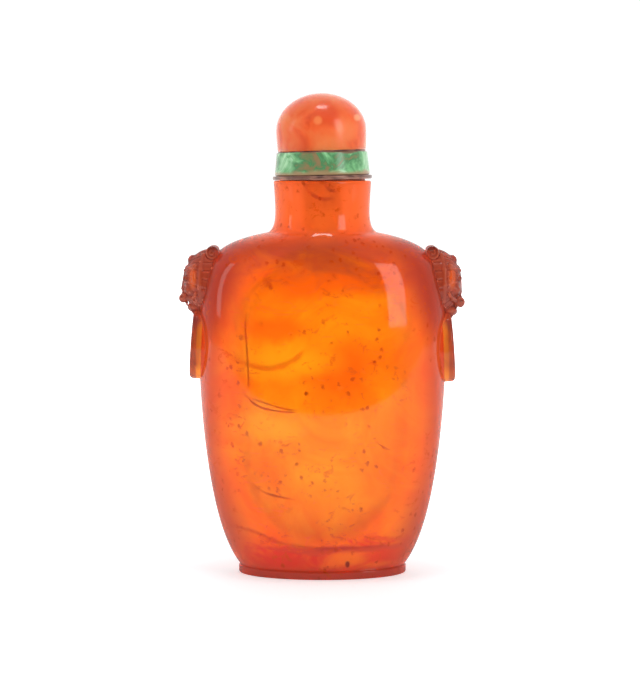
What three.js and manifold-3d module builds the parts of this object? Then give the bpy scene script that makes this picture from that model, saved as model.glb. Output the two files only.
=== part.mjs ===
// Amber snuff bottle of flattened form. It is hollowed through the neck, stands on a low oval foot and
// has a carved lion mask holding a ring on each side. Its stopper is a coral dome on a green stone
// collar, a thin horn disc and a cork.
// Millimetres, +Z up. The front faces -Y, the masks face +X and -X, and the origin is the middle of the
// foot's underside.
import * as THREE from "three";
import { mergeVertices } from "three/addons/utils/BufferGeometryUtils.js";
import Module from "manifold-3d";

// Bottle, outside
const bottleHeight = 62;
const bodyWidth = 39;
const bodyDepth = 23.6;
const widestHeight = 36;
const footWidth = 26.55;
const footDepth = 16.2;
const footHeight = 1.3;
const footGroove = 0.25;
const footRounding = 0.25;
const neckHeight = 8.1;
const neckWaist = 14.85;
const neckSpreadWidth = 17.2;
const neckSpreadDepth = 16;
const lipDiameter = 15.3;
const lipRounding = 0.25;
// How far the section at the belly goes from an ellipse towards a rectangle; 0 is an ellipse
const bellySquareness = 0.2;

// Bottle, hollow
const sideWall = 6;
const faceWall = 3.2;
const baseThickness = 5.4;
const boreDiameter = 5;
const boreLength = 11;
const boreChamfer = 0.3;
const crownRise = 12;
const floorRise = 9;
const footRingWidth = 1.9;
const footRecess = 0.8;

// Mask, one on each side: a domed face with its features raised on it
const maskBelowShoulder = 7.9;
const maskProud = 2.35;
const maskDome = 4.2;
const maskHalfWidth = 3.9;
const maskHalfHeight = 5.3;
const featureDepth = 1.1;
const scrollRadius = 0.95;
const scrollLength = 2.2;
const scrollInset = 1.7;

// Ring below each mask
const ringHeight = 11.4;
const ringWidth = 9.2;
const ringBand = 1.9;
const ringProud = 1.1;
const ringLean = 4.2;
const ringBevel = 0.35;

// The two sides were carved by hand. The right snout is larger and hangs lower, and so does its ring.
const rightSide = { snoutDrop: 3.05, snoutProud: 3, snoutRadius: 0.9, ringDrop: 10 };
const leftSide = { snoutDrop: 2.4, snoutProud: 3.15, snoutRadius: 0.75, ringDrop: 9.5 };

// Stopper
const discDiameter = 15.6;
const discThickness = 0.6;
const collarLowerDiameter = 15;
const collarUpperDiameter = 14.3;
const collarHeight = 3.6;
const capDiameter = 14.15;
const capBaseDiameter = 13.9;
const capSkirtHeight = 3.15;
const capDomeHeight = 5.9;
const edgeRounding = 0.2;
const corkLength = 4.6;
const corkTaper = 0.25;
const corkClearance = 0.25;
const glueLine = 0.1;
const seatGap = 0.05;
// The stopper sits a little askew, with its right side up, and its cap a little more so
const stopperTilt = 1.1;
const capTilt = 0.9;

// Fineness of the facets
const bodySides = 44;
const hollowSides = 28;
const stopperSides = 36;
const carvedSides = 9;
const wallSteps = 9;
const neckSteps = 5;
const hollowSteps = 14;

// How far a cutting form runs past the face that it opens
const overrun = 1;

const wasm = await Module();
wasm.setup();

// Joins and cuts

function toManifold(geometry) {
  const bare = geometry.index ? geometry.clone() : geometry;
  bare.deleteAttribute("normal");
  bare.deleteAttribute("uv");
  const merged = mergeVertices(bare);
  return new wasm.Manifold(
    new wasm.Mesh({
      numProp: 3,
      vertProperties: merged.getAttribute("position").array,
      triVerts: new Uint32Array(merged.index.array),
    }),
  );
}

function toGeometry(solid) {
  const { numProp, vertProperties, triVerts } = solid.getMesh();
  const corners = new Float32Array((vertProperties.length / numProp) * 3);
  for (let i = 0; i * numProp < vertProperties.length; i++)
    corners.set(vertProperties.subarray(i * numProp, i * numProp + 3), i * 3);
  const geometry = new THREE.BufferGeometry();
  geometry.setAttribute("position", new THREE.BufferAttribute(corners, 3));
  geometry.setIndex(new THREE.BufferAttribute(new Uint32Array(triVerts), 1));
  geometry.computeVertexNormals();
  return geometry;
}

// Oval turned forms

// A station is one level of an oval form: its height, half-width, half-depth and squareness.
const station = (z, halfWidth, halfDepth, square = 0) => ({ z, halfWidth, halfDepth, square });

const signedPower = (value, power) => Math.sign(value) * Math.abs(value) ** power;

// A turned form pressed to an oval at each station. The first and last stations lie on the axis.
function ovalForm(stations, sides) {
  const outline = stations.map(({ z, halfWidth }) => new THREE.Vector2(halfWidth, z));
  const geometry = new THREE.LatheGeometry(outline, sides);
  const corners = geometry.getAttribute("position");
  for (let i = 0; i < corners.count; i++) {
    const { z, halfWidth, halfDepth, square } = stations[i % stations.length];
    const turn = (2 * Math.PI * Math.floor(i / stations.length)) / sides;
    const power = 2 / (2 + square);
    const x = halfWidth * signedPower(Math.sin(turn), power);
    const y = -halfDepth * signedPower(Math.cos(turn), power);
    corners.setXYZ(i, x, y, z);
  }
  return geometry;
}

// The outer wall

const shoulderHeight = bottleHeight - neckHeight;

// Squareness grows from the foot to the belly and fades again before the neck.
function squarenessAt(z) {
  const share = THREE.MathUtils.clamp((z - footHeight) / (shoulderHeight - footHeight), 0, 1);
  return bellySquareness * Math.sin(Math.PI * share);
}

// One stretch of the wall. Its curve's x is the half-width, y the half-depth and z the height.
function wallStretch(levels, steps) {
  const curve = new THREE.CubicBezierCurve3(...levels.map((level) => new THREE.Vector3(...level)));
  return curve.getPoints(steps).map(({ x, y, z }) => station(z, x, y, squarenessAt(z)));
}

function outerStations() {
  const foot = { a: footWidth / 2, b: footDepth / 2 };
  const body = { a: bodyWidth / 2, b: bodyDepth / 2 };
  const spread = { a: neckSpreadWidth / 2, b: neckSpreadDepth / 2 };
  const lip = lipDiameter / 2;
  const belly = widestHeight - footHeight;
  const shoulder = shoulderHeight - widestHeight;
  const waist = neckWaist / 2;
  // The second point of a curve from the neck's foot to the lip that is as thin as the waist halfway
  const narrowing = (start) => (5 * waist - start - lip) / 3;
  const base = [
    station(0, 0, 0),
    station(0, foot.a - footRounding, foot.b - footRounding),
    station(footRounding, foot.a, foot.b),
    station(footHeight - footRounding, foot.a, foot.b),
  ];
  const lower = wallStretch(
    [
      [foot.a - footGroove, foot.b - footGroove, footHeight],
      [foot.a + 0.83 * (body.a - foot.a), foot.b + 0.8 * (body.b - foot.b), footHeight + 0.195 * belly],
      [body.a, body.b, footHeight + 0.795 * belly],
      [body.a, body.b, widestHeight],
    ],
    wallSteps,
  );
  const upper = wallStretch(
    [
      [body.a, body.b, widestHeight],
      [body.a, body.b, widestHeight + 0.67 * shoulder],
      [body.a, body.b - 0.5 * (body.b - spread.b), widestHeight + 0.887 * shoulder],
      [spread.a, spread.b, shoulderHeight],
    ],
    wallSteps,
  );
  const neck = wallStretch(
    [
      [spread.a, spread.b, shoulderHeight],
      [narrowing(spread.a), narrowing(spread.b), shoulderHeight + 0.1 * neckHeight],
      [waist, waist, shoulderHeight + 0.5 * neckHeight],
      [lip, lip, bottleHeight - lipRounding],
    ],
    neckSteps,
  );
  const top = [station(bottleHeight, lip - lipRounding, lip - lipRounding), station(bottleHeight, 0, 0)];
  return [...base, ...lower, ...upper.slice(1), ...neck.slice(1), ...top];
}

const outside = outerStations();

// The outer half-width and half-depth at a height
function outerAt(z) {
  const above = outside.findIndex((level, i) => i > 1 && level.z >= z);
  const low = outside[above - 1];
  const high = outside[above];
  const share = (z - low.z) / (high.z - low.z);
  return {
    halfWidth: THREE.MathUtils.lerp(low.halfWidth, high.halfWidth, share),
    halfDepth: THREE.MathUtils.lerp(low.halfDepth, high.halfDepth, share),
  };
}

// The hollow, and the recess under the foot

// Rises from 0 to 1 like a rounded corner; a lower power gives a more pointed one.
const roundCorner = (share, power) => (1 - (1 - Math.min(share, 1)) ** power) ** (1 / power);

function hollowStations() {
  const bore = boreDiameter / 2;
  const crown = bottleHeight - boreLength;
  const stations = [station(baseThickness, 0, 0)];
  for (let i = 1; i < hollowSteps; i++) {
    const z = baseThickness + (crown - baseThickness) * 0.5 * (1 - Math.cos((Math.PI * i) / hollowSteps));
    const { halfWidth, halfDepth } = outerAt(z);
    const floor = roundCorner((z - baseThickness) / floorRise, 2);
    const arch = roundCorner((crown - z) / crownRise, 1.5);
    const halfSpan = (outer, wall) => floor * (bore + (outer - wall - bore) * arch);
    stations.push(station(z, halfSpan(halfWidth, sideWall), halfSpan(halfDepth, faceWall), squarenessAt(z)));
  }
  const mouth = bore + boreChamfer;
  return [
    ...stations,
    station(crown, bore, bore),
    station(bottleHeight - boreChamfer, bore, bore),
    station(bottleHeight, mouth, mouth),
    station(bottleHeight + overrun, mouth + overrun, mouth + overrun),
    station(bottleHeight + overrun, 0, 0),
  ];
}

function recessStations() {
  const a = footWidth / 2 - footRingWidth;
  const b = footDepth / 2 - footRingWidth;
  const slope = footRecess / 2;
  return [
    station(-overrun, 0, 0),
    station(-overrun, a, b),
    station(0, a, b),
    station(footRecess, a - slope, b - slope),
    station(footRecess, 0, 0),
  ];
}

// The masks and rings, made facing +X

// A rounded lump: its middle, its radii and how far it turns about the outward X axis, in degrees
function lump([x, y, z], [rx, ry, rz], turn = 0) {
  const sides = rz >= maskHalfHeight ? 2 * carvedSides : carvedSides;
  const ball = new THREE.SphereGeometry(1, sides, Math.round(0.65 * sides));
  ball.scale(rx, ry, rz);
  ball.rotateX(THREE.MathUtils.degToRad(turn));
  ball.translate(x, y, z);
  return ball;
}

const side = bodyWidth / 2;
const maskMiddle = side + maskProud - maskDome;
const maskHeight = shoulderHeight - maskBelowShoulder;

// A feature raised on the domed face. Its place and size are shares of the mask's half-width and
// half-height.
function feature(across, up, wide, tall, raised, turn = 0) {
  const dome = maskDome * Math.sqrt(1 - across ** 2 - up ** 2);
  return lump(
    [maskMiddle + dome + raised - featureDepth, across * maskHalfWidth, maskHeight + up * maskHalfHeight],
    [featureDepth, wide * maskHalfWidth, tall * maskHalfHeight],
    turn,
  );
}

// A coiled lock of hair whose axis runs along Y, so that its coil shows from the front
function scroll(hand) {
  const coil = new THREE.CylinderGeometry(scrollRadius, scrollRadius, scrollLength, carvedSides);
  const y = hand * (maskHalfWidth - scrollRadius - scrollLength / 2);
  coil.translate(side - scrollInset, y, maskHeight + 0.94 * maskHalfHeight);
  return coil;
}

function maskPieces({ snoutDrop, snoutProud, snoutRadius }) {
  const snoutMiddle = [side + snoutProud - snoutRadius, 0, maskHeight - snoutDrop];
  const pairs = [1, -1].flatMap((hand) => [
    // eye, brow, cheek, ear, mane beside the jaw, and the corner of the mouth
    feature(0.42 * hand, 0.18, 0.2, 0.11, 0.35),
    feature(0.4 * hand, 0.4, 0.38, 0.1, 0.4, 18 * hand),
    feature(0.5 * hand, -0.2, 0.3, 0.2, 0.3),
    feature(0.8 * hand, 0.4, 0.22, 0.2, 0.35, -20 * hand),
    feature(0.8 * hand, -0.3, 0.24, 0.36, 0.4, 8 * hand),
    feature(0.44 * hand, -0.62, 0.34, 0.16, 0.5, -25 * hand),
    scroll(hand),
  ]);
  return [
    lump([maskMiddle, 0, maskHeight], [maskDome, maskHalfWidth, maskHalfHeight]),
    // forehead, bridge of the nose, curled snout and jaw
    feature(0, 0.62, 0.2, 0.2, 0.15),
    feature(0, 0, 0.2, 0.5, 0.3),
    lump(snoutMiddle, [snoutRadius, 0.4 * maskHalfWidth, snoutRadius]),
    feature(0, -0.72, 0.42, 0.2, 0.7),
    ...pairs,
  ];
}

// A flat-faced oval ring cut in relief. It leans out at its foot, and its back reaches into the wall.
function ringPiece({ ringDrop }) {
  const half = { y: ringWidth / 2 - ringBevel, z: ringHeight / 2 - ringBevel };
  const band = ringBand - 2 * ringBevel;
  const outline = new THREE.Shape().absellipse(0, 0, half.y, half.z, 0, 2 * Math.PI);
  outline.holes.push(new THREE.Path().absellipse(0, 0, half.y - band, half.z - band, 0, 2 * Math.PI));
  const depth = ringProud + ringWidth / 4;
  const ring = new THREE.ExtrudeGeometry(outline, {
    depth,
    bevelSize: ringBevel,
    bevelThickness: ringBevel,
    bevelSegments: 1,
    curveSegments: carvedSides,
  });
  // From the XY plane, facing +Z, to the YZ plane, facing +X
  ring.rotateX(Math.PI / 2);
  ring.rotateZ(Math.PI / 2);
  ring.translate(ringProud - ringBevel - depth, 0, 0);
  ring.rotateY(-THREE.MathUtils.degToRad(ringLean));
  ring.translate(side, 0, maskHeight - ringDrop);
  return ring;
}

function carvedSide(carving) {
  return [...maskPieces(carving), ringPiece(carving)]
    .map(toManifold)
    .reduce((joined, piece) => joined.add(piece));
}

function bottleGeometry() {
  const right = carvedSide(rightSide);
  const left = carvedSide(leftSide).rotate([0, 0, 180]);
  const body = toManifold(ovalForm(outside, bodySides)).add(right).add(left);
  const hollow = toManifold(ovalForm(hollowStations(), hollowSides));
  const recess = toManifold(ovalForm(recessStations(), bodySides));
  return toGeometry(body.subtract(hollow).subtract(recess));
}

// The stopper, built up from the underside of its disc

function turned(points) {
  const profile = points.map(([radius, z]) => new THREE.Vector2(radius, z));
  const form = new THREE.LatheGeometry(profile, stopperSides);
  form.rotateX(Math.PI / 2);
  return form;
}

// A disc or collar with eased edges
function slab(lowerRadius, upperRadius, height, ease) {
  return turned([
    [0, 0],
    [lowerRadius - ease, 0],
    [lowerRadius, ease],
    [upperRadius, height - ease],
    [upperRadius - ease, height],
    [0, height],
  ]);
}

function capGeometry() {
  const steps = 9;
  const dome = Array.from({ length: steps + 1 }, (_, i) => {
    const angle = (0.5 * Math.PI * i) / steps;
    const radius = i === steps ? 0 : (capDiameter / 2) * Math.cos(angle);
    return [radius, capSkirtHeight + capDomeHeight * Math.sin(angle)];
  });
  const base = capBaseDiameter / 2;
  return turned([[0, 0], [base - edgeRounding, 0], [base, edgeRounding], ...dome]);
}

function corkGeometry() {
  const radius = boreDiameter / 2 - corkClearance;
  return turned([
    [0, -corkLength],
    [radius - corkTaper - edgeRounding, -corkLength],
    [radius - corkTaper, edgeRounding - corkLength],
    [radius, 0],
    [0, 0],
  ]);
}

function piece(name, geometry, colour, roughness) {
  const material = new THREE.MeshStandardMaterial({ color: colour, roughness, metalness: 0 });
  const mesh = new THREE.Mesh(geometry, material);
  mesh.name = name;
  return mesh;
}

function stopperGroup() {
  const stopper = new THREE.Group();
  const discEase = Math.min(edgeRounding, discThickness / 4);
  const disc = piece("horn_disc", slab(discDiameter / 2, discDiameter / 2, discThickness, discEase), "#5b4436", 0.4);
  const collar = piece(
    "green_collar",
    slab(collarLowerDiameter / 2, collarUpperDiameter / 2, collarHeight, edgeRounding),
    "#74b48a",
    0.3,
  );
  collar.position.z = discThickness + glueLine;
  const cap = piece("coral_cap", capGeometry(), "#ee7748", 0.25);
  const capWedge = THREE.MathUtils.degToRad(capTilt);
  const capLift = (capBaseDiameter / 2) * Math.sin(capWedge);
  cap.rotation.y = -capWedge;
  cap.position.z = collar.position.z + collarHeight + seatGap + capLift;
  const cork = piece("cork", corkGeometry(), "#a87a4c", 0.9);
  cork.position.z = -glueLine;
  stopper.add(disc, collar, cap, cork);
  const tilt = THREE.MathUtils.degToRad(stopperTilt);
  stopper.rotation.y = -tilt;
  stopper.position.z = bottleHeight + (discDiameter / 2) * Math.sin(tilt) + seatGap;
  return stopper;
}

const snuffBottle = new THREE.Group();
snuffBottle.add(piece("amber_bottle", bottleGeometry(), "#e8801f", 0.2), stopperGroup());

export default snuffBottle;
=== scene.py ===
# Amber snuff bottle with carved lion masks, a coral and green stone stopper, and a white studio.
# Sizes are in millimetres unless a comment says otherwise. The front of the bottle faces -Y.
import math

import bmesh
import bpy
import numpy as np
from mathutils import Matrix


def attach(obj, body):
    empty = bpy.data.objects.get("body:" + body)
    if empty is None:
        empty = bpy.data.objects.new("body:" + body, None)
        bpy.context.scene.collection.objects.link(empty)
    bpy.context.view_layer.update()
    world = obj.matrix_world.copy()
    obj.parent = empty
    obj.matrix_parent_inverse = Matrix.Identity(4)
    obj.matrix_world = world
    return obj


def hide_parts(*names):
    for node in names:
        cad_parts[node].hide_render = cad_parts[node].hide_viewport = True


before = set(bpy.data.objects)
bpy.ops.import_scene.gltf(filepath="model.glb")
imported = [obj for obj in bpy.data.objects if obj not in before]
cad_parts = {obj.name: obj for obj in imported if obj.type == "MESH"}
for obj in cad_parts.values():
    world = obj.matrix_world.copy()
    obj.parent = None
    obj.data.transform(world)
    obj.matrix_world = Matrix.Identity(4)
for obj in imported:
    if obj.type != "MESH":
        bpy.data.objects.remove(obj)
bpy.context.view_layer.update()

import openvdb as vdb
from mathutils import Matrix, Vector, noise

MM = 0.001

# Bottle, outside
HEIGHT = 62.0
BODY_A, BODY_B = 19.5, 11.8
WIDEST = 36.0
FOOT_A, FOOT_B = 13.275, 8.1
FOOT_H = 1.3
FOOT_GROOVE = 0.25
EDGE = 0.25
NECK_H = 8.1
WAIST = 7.425
SPREAD_A, SPREAD_B = 8.6, 8.0
LIP = 7.65
SQUARE = 0.2
SHOULDER = HEIGHT - NECK_H

# Bottle, hollow and underside
SIDE_WALL, FACE_WALL, BASE = 6.0, 3.2, 5.4
BORE = 2.5
CROWN = HEIGHT - 11.0
CHAMFER = 0.3
CROWN_RISE, FLOOR_RISE = 12.0, 9.0
FOOT_RING, RECESS = 1.9, 0.8
EASE = 0.03

# Masks and rings
MASK_Z = SHOULDER - 7.9
MASK_W, MASK_H = 3.9, 5.3
DOME = 4.2
MASK_X = BODY_A + 2.35 - DOME
CARVING_BACK = 15.3
RIGHT = {"hand": 1, "snout_drop": 3.05, "reach": 22.43, "snout_radius": 0.9, "ring_drop": 10.0}
LEFT = {"hand": -1, "snout_drop": 2.4, "reach": 22.58, "snout_radius": 0.75, "ring_drop": 9.5}
RING_HALF_Y, RING_HALF_Z, RING_BAND = 4.6, 5.7, 0.95
RING_PROUD, RING_THICK, RING_SOFT = 1.1, 1.9, 0.55
RING_LEAN = math.radians(4.2)

# Stopper
TILT = math.radians(1.1)
CAP_TILT = math.radians(0.9)
# Gap between the stopper's pieces, where thin dark sheets paint the shade
STOPPER_GAP = 0.1
DISC_R, DISC_H = 7.8, 0.6
COLLAR_LOW, COLLAR_HIGH, COLLAR_H = 7.5, 7.15, 3.6
COLLAR_LIFT = DISC_H + STOPPER_GAP
CAP_BASE, CAP_WIDEST, CAP_SKIRT, CAP_DOME = 6.95, 7.075, 3.15, 5.88
CAP_LIFT = COLLAR_LIFT + COLLAR_H + STOPPER_GAP / 2 + CAP_BASE * math.sin(CAP_TILT)
CORK_TOP, CORK_FOOT, CORK_LENGTH = 2.25, 2.0, 4.6


# Meshes


def mesh_object(name, points, faces, material, smooth=True):
    """An object from points in millimetres, with its faces turned outward."""
    mesh = bpy.data.meshes.new(name)
    corners = [tuple(point) for point in np.asarray(points, float) * MM]
    mesh.from_pydata(corners, [], [tuple(map(int, face)) for face in faces])
    mesh.validate()
    piece = bpy.data.objects.new(name, mesh)
    bpy.context.scene.collection.objects.link(piece)
    if material:
        mesh.materials.append(material)
    work = bmesh.new()
    work.from_mesh(mesh)
    bmesh.ops.recalc_face_normals(work, faces=work.faces)
    if work.calc_volume(signed=True) < 0:
        bmesh.ops.reverse_faces(work, faces=work.faces)
    work.to_mesh(mesh)
    work.free()
    if smooth:
        mesh.shade_smooth()
    return piece


def rings_to_faces(count, sides):
    """Faces of a form whose levels are rings of points between two end points."""
    faces = []
    first, last = 0, 1 + (count - 2) * sides
    top_ring = 1 + (count - 3) * sides
    for j in range(sides):
        k = (j + 1) % sides
        faces.append((first, 1 + k, 1 + j))
        faces.append((last, top_ring + j, top_ring + k))
        for i in range(count - 3):
            low, high = 1 + i * sides, 1 + (i + 1) * sides
            faces.append((low + j, low + k, high + k, high + j))
    return faces


def oval_form(name, stations, sides, material):
    """A turned form pressed to an oval at each station (z, half-width, half-depth, squareness)."""
    turn = np.arange(sides) * 2 * math.pi / sides
    rows = [[(0, 0, stations[0][0])]]
    for z, a, b, square in stations[1:-1]:
        power = 2 / (2 + square)
        x = a * np.sign(np.sin(turn)) * np.abs(np.sin(turn)) ** power
        y = -b * np.sign(np.cos(turn)) * np.abs(np.cos(turn)) ** power
        rows.append(np.stack([x, y, np.full(sides, z)], 1))
    rows.append([(0, 0, stations[-1][0])])
    return mesh_object(name, np.vstack(rows), rings_to_faces(len(stations), sides), material)


# Bottle


def squareness(z):
    """How far the oval at a height leans to a rectangle: most at mid-height, none at the ends."""
    share = np.clip((z - FOOT_H) / (SHOULDER - FOOT_H), 0, 1)
    return SQUARE * np.sin(math.pi * share)


def stretch(levels, steps, skip_first=True):
    """Stations along a cubic curve through (half-width, half-depth, height)."""
    t = np.linspace(0, 1, steps + 1)[1 if skip_first else 0:, None]
    start, near, far, end = (np.array(level, float) for level in levels)
    curve = (1 - t) ** 3 * start + 3 * t * (1 - t) ** 2 * near + 3 * t * t * (1 - t) * far + t ** 3 * end
    return [(z, a, b, float(squareness(z))) for a, b, z in curve]


def corner(a, b, z, radius, start, end, steps=5):
    """A rounded edge about a middle line, from one angle to the other, in degrees."""
    angles = np.radians(np.linspace(start, end, steps + 1))
    return [(z + radius * math.sin(t), a + radius * math.cos(t), b + radius * math.cos(t), 0.0)
            for t in angles]


def outer_wall(fine):
    """Stations up the outside, from the groove over the foot to the lip's edge."""
    belly, rise = WIDEST - FOOT_H, SHOULDER - WIDEST
    wall = stretch([
        (FOOT_A - FOOT_GROOVE, FOOT_B - FOOT_GROOVE, FOOT_H),
        (FOOT_A + 0.83 * (BODY_A - FOOT_A), FOOT_B + 0.8 * (BODY_B - FOOT_B), FOOT_H + 0.195 * belly),
        (BODY_A, BODY_B, FOOT_H + 0.795 * belly),
        (BODY_A, BODY_B, WIDEST)], 3 * fine, False)
    wall += stretch([
        (BODY_A, BODY_B, WIDEST),
        (BODY_A, BODY_B, WIDEST + 0.67 * rise),
        (BODY_A, BODY_B - 0.5 * (BODY_B - SPREAD_B), WIDEST + 0.887 * rise),
        (SPREAD_A, SPREAD_B, SHOULDER)], 3 * fine)
    # the neck's first handle is set so that the middle of its curve has the radius WAIST
    thin_a, thin_b = ((5 * WAIST - start - LIP) / 3 for start in (SPREAD_A, SPREAD_B))
    wall += stretch([
        (SPREAD_A, SPREAD_B, SHOULDER),
        (thin_a, thin_b, SHOULDER + 0.1 * NECK_H),
        (WAIST, WAIST, SHOULDER + 0.5 * NECK_H),
        (LIP, LIP, HEIGHT - EDGE)], 2 * fine)
    return wall


WALL_LEVELS = np.array([station[:3] for station in outer_wall(20)])


def half_sizes(z, levels=WALL_LEVELS):
    """Half-width and half-depth of the outside at a height."""
    return tuple(np.interp(z, levels[:, 0], levels[:, column]) for column in (1, 2))


def round_corner(share, power):
    return (1 - (1 - min(share, 1)) ** power) ** (1 / power)


def hollow_wall(wall, steps):
    """The hollow from the mouth down to the middle of its floor."""
    levels = np.array([station[:3] for station in wall])
    down = [(HEIGHT, BORE + CHAMFER, BORE + CHAMFER, 0.0), (HEIGHT - CHAMFER, BORE, BORE, 0.0)]
    down += [(z, BORE, BORE, 0.0) for z in np.linspace(HEIGHT - CHAMFER, CROWN, 14)[1:]]
    for i in range(steps - 1, 0, -1):
        z = BASE + (CROWN - BASE) * 0.5 * (1 - math.cos(math.pi * i / steps))
        floor = round_corner((z - BASE) / FLOOR_RISE, 2)
        arch = round_corner((CROWN - z) / CROWN_RISE, 1.5)
        half_a, half_b = half_sizes(z, levels)
        spans = [floor * (BORE + (half - wall_thickness - BORE) * arch)
                 for half, wall_thickness in ((half_a, SIDE_WALL), (half_b, FACE_WALL))]
        down.append((z, spans[0], spans[1], float(squareness(z))))
    return down + [(BASE, 0, 0, 0)]


def underside():
    """The recess under the foot, from its middle out to the foot's ring."""
    inner_a, inner_b = FOOT_A - FOOT_RING, FOOT_B - FOOT_RING
    slope = RECESS / 2
    under = [(RECESS, 0, 0, 0)]
    under += [(RECESS, share * (inner_a - slope), share * (inner_b - slope), 0.0)
              for share in (0.3, 0.6, 0.85, 0.97)]
    under.append((RECESS - 0.04, inner_a - slope + 0.02, inner_b - slope + 0.02, 0.0))
    under.append((0.04, inner_a - EASE, inner_b - EASE, 0.0))
    under.append((0, inner_a + EASE, inner_b + EASE, 0.0))
    return under


def bottle_stations(fine):
    foot = corner(FOOT_A - EDGE, FOOT_B - EDGE, EDGE, EDGE, -90, 0)
    foot += corner(FOOT_A - EDGE, FOOT_B - EDGE, FOOT_H - EDGE, EDGE, 0, 75)
    wall = outer_wall(fine)
    lip = corner(LIP - EDGE, LIP - EDGE, HEIGHT - EDGE, EDGE, 15, 90)
    return underside() + foot + wall + lip + hollow_wall(wall, 3 * fine)


# Fields of distance, which the carving is made of


class Field:
    """Distances on a grid over the carving on one side, made facing +X."""

    low = np.array([14.6, -5.7, 28.6])
    high = np.array([23.2, 5.7, 53.4])
    outside = 2.0
    margin = 0.4

    def __init__(self, step):
        self.step = step
        counts = np.ceil((self.high - self.low) / step).astype(int) + 1
        self.axes = [self.low[i] + step * np.arange(counts[i]) for i in range(3)]
        self.values = np.full(counts, self.outside, np.float32)

    def window(self, middle, reach):
        """The part of the grid round a place, and its coordinates."""
        cut = []
        for axis, at, far in zip(self.axes, middle, reach):
            start = int(np.searchsorted(axis, at - far))
            stop = int(np.searchsorted(axis, at + far))
            cut.append(slice(max(start, 0), max(stop, 1)))
        x, y, z = (axis[part] for axis, part in zip(self.axes, cut))
        return tuple(cut), x[:, None, None], y[None, :, None], z[None, None, :]

    def blend_in(self, cut, new, blend, keep):
        """Takes the nearer (keep -1) or the farther (keep 1) of two distances, softly."""
        old = self.values[cut]
        share = np.clip(0.5 - keep * 0.5 * (old - new) / blend, 0, 1)
        soft = keep * blend * share * (1 - share)
        self.values[cut] = old * (1 - share) + new * share + soft

    def join(self, shape, blend):
        cut, x, y, z = self.window(shape["middle"], shape["reach"] + blend + self.margin)
        self.blend_in(cut, shape["distance"](x, y, z), blend, -1)

    def carve(self, shape, blend):
        cut, x, y, z = self.window(shape["middle"], shape["reach"] + blend + self.margin)
        self.blend_in(cut, -shape["distance"](x, y, z), blend, 1)

    def score(self, middle, reach, line, width, blend=0.06):
        """Cuts a groove into the present surface where the function line is near zero."""
        cut, x, y, z = self.window(middle, np.array(reach))
        groove = width - np.sqrt(line(x, y, z) ** 2 + self.values[cut] ** 2)
        self.blend_in(cut, groove, blend, 1)

    def flatten(self, back):
        """Keeps only what lies in front of a flat back."""
        x = self.axes[0][:, None, None]
        self.values = np.maximum(self.values, back - x).astype(np.float32)

    def mesh(self):
        grid = vdb.FloatGrid(self.outside)
        grid.copyFromArray(self.values.astype(float))
        points, quads = grid.convertToQuads(isovalue=0.0)
        return np.array(points * self.step + self.low), quads


def rounded(across, along, soft):
    """Distance to a form with rounded edges, from the distances to its two pairs of faces."""
    outside = np.sqrt(np.maximum(across, 0) ** 2 + np.maximum(along, 0) ** 2)
    return outside + np.minimum(np.maximum(across, along), 0) - soft


def ball(middle, radii):
    """An egg with its own half-size along each axis."""
    r = np.array(radii, float)

    def distance(x, y, z):
        u, v, w = x - middle[0], y - middle[1], z - middle[2]
        near = np.sqrt((u / r[0]) ** 2 + (v / r[1]) ** 2 + (w / r[2]) ** 2)
        slope = np.sqrt((u / r[0] ** 2) ** 2 + (v / r[1] ** 2) ** 2 + (w / r[2] ** 2) ** 2)
        return near * (near - 1) / np.maximum(slope, 1e-6)

    return {"middle": np.array(middle), "reach": np.full(3, r.max()), "distance": distance}


def rod(start, end, first_radius, last_radius=None):
    """A rounded rod that may taper."""
    a, b = np.array(start, float), np.array(end, float)
    last_radius = first_radius if last_radius is None else last_radius
    along = b - a
    length_squared = float(along @ along)

    def distance(x, y, z):
        u, v, w = x - a[0], y - a[1], z - a[2]
        t = np.clip((u * along[0] + v * along[1] + w * along[2]) / length_squared, 0, 1)
        gap = (u - t * along[0]) ** 2 + (v - t * along[1]) ** 2 + (w - t * along[2]) ** 2
        return np.sqrt(gap) - (first_radius + (last_radius - first_radius) * t)

    reach = np.abs(along) / 2 + max(first_radius, last_radius)
    return {"middle": (a + b) / 2, "reach": reach, "distance": distance}


def drum(middle, radius, half_length, soft):
    """A short round drum along Y with rounded edges."""

    def distance(x, y, z):
        across = np.sqrt((x - middle[0]) ** 2 + (z - middle[2]) ** 2) - radius + soft
        return rounded(across, np.abs(y - middle[1]) - half_length + soft, soft)

    reach = np.array([radius, half_length, radius])
    return {"middle": np.array(middle), "reach": reach, "distance": distance}


def hanging_ring(middle_x, middle_z):
    """The flat-faced oval ring, leaning out at its foot."""
    mid_y, mid_z = RING_HALF_Y - RING_BAND, RING_HALF_Z - RING_BAND

    def distance(x, y, z):
        u, v = x - middle_x, z - middle_z
        out = u * math.cos(RING_LEAN) + v * math.sin(RING_LEAN)
        up = v * math.cos(RING_LEAN) - u * math.sin(RING_LEAN)
        near = np.sqrt((y / mid_y) ** 2 + (up / mid_z) ** 2)
        slope = np.sqrt((y / mid_y ** 2) ** 2 + (up / mid_z ** 2) ** 2) / np.maximum(near, 1e-6)
        across = np.abs((near - 1) / np.maximum(slope, 1e-3)) - RING_BAND + RING_SOFT
        return rounded(across, np.abs(out - RING_PROUD + RING_THICK) - RING_THICK + RING_SOFT, RING_SOFT)

    reach = np.array([4.0, RING_HALF_Y, RING_HALF_Z + 0.5])
    return {"middle": np.array([middle_x, 0, middle_z]), "reach": reach, "distance": distance}


def spiral(middle, pitch, start):
    """Distance to a spiral line about a point, seen along Y."""

    def line(x, y, z):
        u, v = x - middle[0], z - middle[2]
        turns = (np.arctan2(v, u) + start) / (2 * math.pi)
        gap = np.sqrt(u ** 2 + v ** 2) / pitch - turns + 0 * y
        return (gap - np.round(gap)) * pitch

    return line


# Masks and rings, all carved facing +X


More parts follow.
